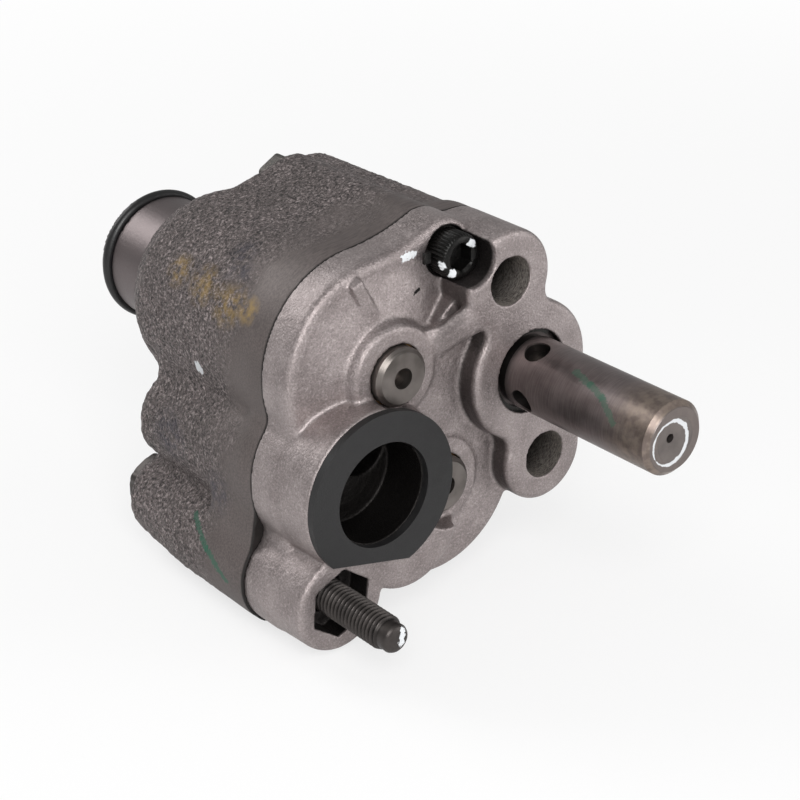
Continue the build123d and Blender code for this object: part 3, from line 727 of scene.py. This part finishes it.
finished("inlet_seal", rubber("seal_rubber", 0.08, 0.55))
finished("spigot_o_ring", rubber("ring_rubber", 0.075, 0.32))
finished("valve_seal_ring", rubber("valve_ring_rubber", 0.075, 0.32))

# ---------------------------------------------------------------- rotors and valve


def plain_steel(node, dark, light, roughness=0.3):
    """Give a CAD node turned metal between two shades."""
    material = turned_steel(node + "_metal", rgb(*dark), rgb(*light), roughness).material
    finished(node, material)


for node in ("drive_shaft", "idler_shaft"):
    plain_steel(node, (0.37, 0.35, 0.335), (0.49, 0.465, 0.45), 0.38)
for node in ("drive_gear", "driven_gear", "drive_gear_key", "driven_gear_key"):
    plain_steel(node, (0.40, 0.39, 0.38), (0.55, 0.54, 0.53))
for node in ("front_drive_bush", "rear_drive_bush", "front_idler_bush", "rear_idler_bush"):
    plain_steel(node, (0.48, 0.36, 0.20), (0.63, 0.49, 0.30))
# The valve's inner parts are coloured dark as painted shade, so the sleeve's ports read as shaded
# holes
for node in ("valve_seat", "valve_plunger", "valve_spring"):
    plain_steel(node, (0.20, 0.19, 0.18), (0.31, 0.295, 0.28))


def sleeve_steel():
    """Brown-grey turned sleeve, straw-coloured near its end, with painted shade in its bore and
    toward the cover, and a stroke of green marker.
    """
    dark, light = rgb(0.42, 0.385, 0.38), rgb(0.52, 0.48, 0.475)
    made = turned_steel("sleeve_metal", dark, light, 0.36, 0.85)
    end_y = sleeve_low[1]
    tip = made.ramp(made.axis("Y"), end_y + 18 * MM, end_y + 8 * MM)
    patches = made.ramp(made.noise(2.5 * MM), 0.4, 0.6)
    straw = made.mix(patches, rgb(0.44, 0.385, 0.34), rgb(0.60, 0.54, 0.48))
    paint(made, made.times(tip, 0.55), straw, False)
    # Painted shade on the inside of the sleeve's bore, short of its end
    inside = made.ramp(made.radius(valve_axis), 10.2 * MM, 9.9 * MM)
    back = made.ramp(made.axis("Y"), end_y + 2 * MM, end_y + 3 * MM)
    paint(made, made.times(inside, back, 0.85), BORE_SHADE, False)
    paint(made, made.times(sleeve_end(made), 0.8), rgb(0.45, 0.42, 0.41), False)
    # Painted shade on the sleeve toward where it enters the cover
    shoulder_shade = made.ramp(made.axis("Y"), 4 * MM, -4 * MM, 1.0, 0.0)
    paint(made, made.times(shoulder_shade, 0.6), rgb(0.16, 0.155, 0.15), False)
    for start, end in GREEN_SLEEVE_STROKES:
        paint(made, made.times(made.stroke(start, end, 2.0 * MM), 0.6), GREEN)
    painted_ring(made)
    return made.material


def sleeve_end(made):
    """1 on the flat end of the valve sleeve, and 0 behind it."""
    return made.ramp(made.axis("Y"), sleeve_low[1] + 0.3 * MM, sleeve_low[1] + 0.1 * MM)


PAINTED_RING_R = 6.2 * MM
PAINTED_RING_CENTRE = (valve_axis[0] - 1.8 * MM, valve_axis[1] - 0.5 * MM)


def painted_ring(made):
    """A wavering loop of white paint on the sleeve's end, thinner toward -X."""
    away = made.radius(PAINTED_RING_CENTRE)
    from_line = made.maths("ABSOLUTE", made.maths("SUBTRACT", away, PAINTED_RING_R))
    thin_x, thick_x = valve_axis[0] - 7 * MM, valve_axis[0] + 4 * MM
    wide = made.ramp(made.axis("X"), thin_x, thick_x, 0.2 * MM, 0.6 * MM)
    wobble = made.ramp(made.noise(2 * MM, 2.0), 0.3, 0.7, -0.25 * MM, 0.25 * MM)
    line = made.maths("SUBTRACT", made.maths("ADD", from_line, wobble), wide)
    paint(made, made.times(made.ramp(line, 0.15 * MM, 0.0), sleeve_end(made), 0.85), WHITE)


finished("valve_sleeve", sleeve_steel())
end_plug = turned_steel("plug_metal", rgb(0.39, 0.365, 0.355), rgb(0.48, 0.45, 0.435), 0.38, 0.8)
painted_ring(end_plug)
finished("valve_end_plug", end_plug.material)
finished("valve_retaining_ring", dark_oxide("snap_ring_metal", 0.17, 0.4).material)

# ---------------------------------------------------------------- fasteners

CORNER_TURN = math.pi / 6
SHARP_DEGREES = 35

BOLT_R = 5 * MM
BOLT_PITCH = 1.5 * MM
BOLT_TIP = 3.6 * MM
BOLT_HEAD = 6.6 * MM
BOLT_FLATS = 17 * MM
THREAD_DEPTH = 0.9 * MM
THREAD_END_Y = 12 * MM
THREAD_STEPS = 14


def thread(y, fade):
    """Radius of a right-hand thread at a height y, as a function of the angle."""

    def radius(angle):
        phase = np.mod(y / BOLT_PITCH + angle / (2 * math.pi), 1.0)
        flank = np.clip(np.abs(2 * phase - 1) * 1.25 - 0.15, 0.0, 1.0)
        return BOLT_R - THREAD_DEPTH * (1 - fade + fade * flank)

    return radius


def bolt_mesh():
    """Hexagon bolt with a rounded point and a real helical thread."""
    tip_y = bolt_low[1]
    head_y = bolt_high[1] - BOLT_HEAD
    corners = hexagon_radius(BOLT_FLATS, CORNER_TURN)
    rings = [
        (tip_y, 2.4 * MM),
        (tip_y + 0.2 * MM, 3.2 * MM),
        (tip_y + 0.7 * MM, 3.85 * MM),
        (tip_y + 1.4 * MM, 4.2 * MM),
        (tip_y + BOLT_TIP, BOLT_R - THREAD_DEPTH),
    ]
    turns = (THREAD_END_Y - tip_y - BOLT_TIP) / BOLT_PITCH
    for step in range(1, int(THREAD_STEPS * turns)):
        y = tip_y + BOLT_TIP + step * BOLT_PITCH / THREAD_STEPS
        fade = min(1.0, step / THREAD_STEPS, (THREAD_STEPS * turns - step) / THREAD_STEPS)
        rings.append((y, thread(y, fade)))
    rings += [
        (THREAD_END_Y, BOLT_R - THREAD_DEPTH),
        (THREAD_END_Y + 1 * MM, BOLT_R),
        (head_y, BOLT_R),
        (head_y, 8.0 * MM),
        (head_y + 0.3 * MM, limited(corners, 8.6 * MM)),
        (head_y + 0.7 * MM, limited(corners, 9.5 * MM)),
        (bolt_high[1] - 1.0 * MM, limited(corners, 9.5 * MM)),
        (bolt_high[1] - 0.4 * MM, limited(corners, 8.7 * MM)),
        (bolt_high[1], 7.9 * MM),
    ]
    return turned_mesh("mounting_bolt_thread", rings, bolt_axis, 72)


def bolt_metal():
    """Phosphated steel, dark in the thread's root, with a dab of white on the point."""
    dark, light = rgb(0.22, 0.205, 0.20), rgb(0.31, 0.29, 0.28)
    made = turned_steel("bolt_metal", dark, light, 0.42, 0.75, 3 * MM)
    thread_y = bolt_low[1] + BOLT_TIP
    root = made.ramp(made.radius(bolt_axis), BOLT_R - 0.25 * MM, BOLT_R - THREAD_DEPTH)
    after_tip = made.ramp(made.axis("Y"), thread_y, thread_y + 1 * MM)
    before_shank = made.ramp(made.axis("Y"), THREAD_END_Y + 1 * MM, THREAD_END_Y)
    paint(made, made.times(root, before_shank, after_tip), SHADOW, False)
    paint(made, made.stroke(*BOLT_TIP_DAB, 2.0 * MM), WHITE)
    return made.material


bolt = new_piece("mounting_bolt_threaded", bolt_mesh(), "loose_bolt", "mounting_bolt", bolt_metal())
crisp(bolt, SHARP_DEGREES)

SCREW_HEAD_R = 6.5 * MM
SCREW_HEAD = 8 * MM
SCREW_SHANK_R = 4 * MM
SOCKET_FLATS = 7 * MM
SOCKET_DEPTH = 4.5 * MM
KNURLS = 40
KNURL_DEPTH = 0.32 * MM


def knurled(angle):
    """Outline of the screw's knurled head."""
    phase = np.mod(angle * KNURLS / (2 * math.pi), 1.0)
    return SCREW_HEAD_R - KNURL_DEPTH * np.abs(2 * phase - 1)


def screw_mesh():
    """Socket cap screw with a knurled, chamfered head."""
    front = screw_low[1]
    rear = front + SCREW_HEAD
    socket = hexagon_radius(SOCKET_FLATS, CORNER_TURN)
    rings = [
        (front + SOCKET_DEPTH + 0.9 * MM, 0.4 * MM),
        (front + SOCKET_DEPTH, limited(socket, 3.3 * MM)),
        (front + SOCKET_DEPTH, socket),
        (front + 0.45 * MM, socket),
        (front, 4.3 * MM),
        (front, 5.5 * MM),
        (front + 0.35 * MM, 6.05 * MM),
        (front + 0.9 * MM, knurled),
        (rear - 0.5 * MM, knurled),
        (rear, 6.0 * MM),
        (rear, SCREW_SHANK_R),
        (screw_high[1] - 0.8 * MM, SCREW_SHANK_R),
        (screw_high[1], 3.3 * MM),
    ]
    return turned_mesh("cover_screw_knurled", rings, screw_axis, 6 * KNURLS)


screw_steel = dark_oxide("screw_metal", 0.095, 0.34)
for dab in SCREW_DABS_MM:
    paint(screw_steel, screw_steel.near([value * MM for value in dab], 1.5 * MM, 0.4 * MM), WHITE)
screw = new_piece("cover_screw_knurled", screw_mesh(), HOUSING, "cover_screw", screw_steel.material)
crisp(screw, SHARP_DEGREES)

# Section of the washer's tab, as (side, lift), where a side is in half widths
TAB_SECTION = ((-1, 0.0), (1, 0.0), (1, -0.9 * MM), (-1, -0.9 * MM))
TAB_HALF_WIDTH = 1.6 * MM
TAB_RISE = 0.6 * MM
WASHER_HOLE_R = 4.2 * MM


def tab_washer_mesh():
    """Flat washer with one tab bent up out of the seat and over the casting."""
    low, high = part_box("cover_screw_washer")
    outer = (high[0] - low[0]) / 2
    rings = [(low[1], WASHER_HOLE_R), (low[1], outer), (high[1], outer), (high[1], WASHER_HOLE_R)]
    mesh = turned_mesh("cover_screw_tab_washer", rings, screw_axis, 72, closed=True)
    path = [
        (outer - 1 * MM, low[1] + 0.2 * MM),
        (7.1 * MM, 13.2 * MM),
        (7.3 * MM, 10.9 * MM),
        (9.6 * MM, 10.9 * MM),
    ]
    work = bmesh.new()
    work.from_mesh(mesh)
    loops = []
    for out, y in path:
        core = Vector((screw_axis[0] - out, y, screw_axis[1] + TAB_RISE))
        loop = [core + Vector((0, lift, side * TAB_HALF_WIDTH)) for side, lift in TAB_SECTION]
        loops.append([work.verts.new(point) for point in loop])
    for here, there in zip(loops, loops[1:]):
        for k in range(4):
            work.faces.new((here[k], here[(k + 1) % 4], there[(k + 1) % 4], there[k]))
    work.faces.new(loops[0])
    work.faces.new(reversed(loops[-1]))
    bmesh.ops.recalc_face_normals(work, faces=work.faces)
    work.to_mesh(mesh)
    work.free()
    return mesh


washer_steel = dark_oxide("washer_metal", 0.15, 0.4).material
washer = new_piece(
    "cover_screw_tab_washer", tab_washer_mesh(), HOUSING, "cover_screw_washer", washer_steel
)
crisp(washer, SHARP_DEGREES)

NUT_FLATS = 13 * MM
NUT_HOLE_R = 4.05 * MM
NUT_FACE_R = 6 * MM
NUT_CHAMFER = 0.6 * MM


def nut_mesh():
    """Hexagon nut, chamfered on both faces."""
    low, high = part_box("cover_nut")
    corners = limited(hexagon_radius(NUT_FLATS, CORNER_TURN), 7.3 * MM)
    rings = [
        (low[1], NUT_HOLE_R),
        (low[1], NUT_FACE_R),
        (low[1] + NUT_CHAMFER, corners),
        (high[1] - NUT_CHAMFER, corners),
        (high[1], NUT_FACE_R),
        (high[1], NUT_HOLE_R),
    ]
    return turned_mesh("cover_nut_chamfered", rings, screw_axis, 72, closed=True)


nut_steel = dark_oxide("nut_metal", 0.30, 0.45).material
nut = new_piece("cover_nut_chamfered", nut_mesh(), HOUSING, "cover_nut", nut_steel)
crisp(nut, SHARP_DEGREES)
finished("cover_dowels", dark_oxide("dowel_metal", 0.35, 0.3).material)

# ---------------------------------------------------------------- camera, lights and floor

# Fitted to the photograph
CAMERA_PLACE = Vector((-0.3177, -0.3843, 0.2323))
CAMERA_FORWARD = Vector((0.5712, 0.6993, -0.4298))
CAMERA_LENS = 93.6

lens = bpy.data.cameras.new("camera")
lens.lens = CAMERA_LENS
lens.sensor_width = 36.0
lens.clip_start = 0.01
camera = bpy.data.objects.new("camera", lens)
camera.location = CAMERA_PLACE
camera.rotation_euler = CAMERA_FORWARD.to_track_quat("-Z", "Y").to_euler()
bpy.context.scene.collection.objects.link(camera)
bpy.context.scene.camera = camera

LIT_POINT = (0.01, 0.04, -0.01)


def soft_light(name, place, size, power):
    """A round lamp aimed at the middle of the pump."""
    lamp = bpy.data.lights.new(name, "AREA")
    lamp.shape = "DISK"
    lamp.size = size
    lamp.energy = power
    holder = bpy.data.objects.new(name, lamp)
    holder.location = place
    aim = Vector(LIT_POINT) - Vector(place)
    holder.rotation_euler = aim.to_track_quat("-Z", "Y").to_euler()
    bpy.context.scene.collection.objects.link(holder)


soft_light("key", (-0.45, -0.65, 0.55), 0.6, 7.5)
soft_light("fill", (0.75, -0.75, 0.25), 0.7, 3.5)
soft_light("rim", (-0.3, 0.9, 0.6), 0.6, 4.0)

# How bright the world is as a light, and how far the floor is plain white to the camera:
# WHITE_NEAR up to NEAR metres from the pump, rising to all of it at FAR.
WORLD_LIGHT = 0.4
WHITE_NEAR = 0.72
NEAR, FAR = 0.25, 0.8
FLOOR_SIDE = 3.0
FLOOR_GAP = 0.2 * MM


def studio_world():
    """An even glow that the camera sees as white."""
    world = bpy.data.worlds.new("studio")
    world.use_nodes = True
    tree = world.node_tree
    glow = tree.nodes["Background"]
    path = tree.nodes.new("ShaderNodeLightPath")
    seen = tree.nodes.new("ShaderNodeMapRange")
    seen.inputs["To Min"].default_value = WORLD_LIGHT
    seen.inputs["To Max"].default_value = 1.0
    glow.inputs["Color"].default_value = (1, 1, 1, 1)
    tree.links.new(path.outputs["Is Camera Ray"], seen.inputs["Value"])
    tree.links.new(seen.outputs["Result"], glow.inputs["Strength"])
    return world


def floor_finish():
    """Matt white that takes the pump's shadow nearby and is plain white further off."""
    material = bpy.data.materials.new("floor")
    material.use_nodes = True
    tree = material.node_tree
    link = tree.links.new
    matt = tree.nodes["Principled BSDF"]
    matt.inputs["Base Color"].default_value = (0.9, 0.9, 0.9, 1)
    matt.inputs["Roughness"].default_value = 0.9
    white = tree.nodes.new("ShaderNodeEmission")
    white.inputs["Color"].default_value = (1, 1, 1, 1)
    blend = tree.nodes.new("ShaderNodeMixShader")
    ray = tree.nodes.new("ShaderNodeLightPath")
    share = tree.nodes.new("ShaderNodeMath")
    share.operation = "MULTIPLY"
    away = tree.nodes.new("ShaderNodeVectorMath")
    away.operation = "LENGTH"
    link(tree.nodes.new("ShaderNodeTexCoord").outputs["Object"], away.inputs[0])
    white_share = tree.nodes.new("ShaderNodeMapRange")
    white_share.inputs["From Min"].default_value = NEAR
    white_share.inputs["From Max"].default_value = FAR
    white_share.inputs["To Min"].default_value = WHITE_NEAR
    white_share.inputs["To Max"].default_value = 1.0
    link(away.outputs["Value"], white_share.inputs["Value"])
    link(white_share.outputs["Result"], share.inputs[1])
    link(ray.outputs["Is Camera Ray"], share.inputs[0])
    link(share.outputs[0], blend.inputs[0])
    link(matt.outputs[0], blend.inputs[1])
    link(white.outputs[0], blend.inputs[2])
    link(blend.outputs[0], tree.nodes["Material Output"].inputs["Surface"])
    return material


bpy.context.scene.world = studio_world()
floor_z = cad_box[0][2] - FLOOR_GAP
corners = [(-1, -1), (1, -1), (1, 1), (-1, 1)]
floor_mesh = bpy.data.meshes.new("floor")
floor_mesh.from_pydata(
    [(x * FLOOR_SIDE, y * FLOOR_SIDE, floor_z) for x, y in corners], [], [(0, 1, 2, 3)]
)
floor = bpy.data.objects.new("floor", floor_mesh)
bpy.context.scene.collection.objects.link(floor)
floor_mesh.materials.append(floor_finish())

bpy.context.scene.view_settings.view_transform = "Standard"
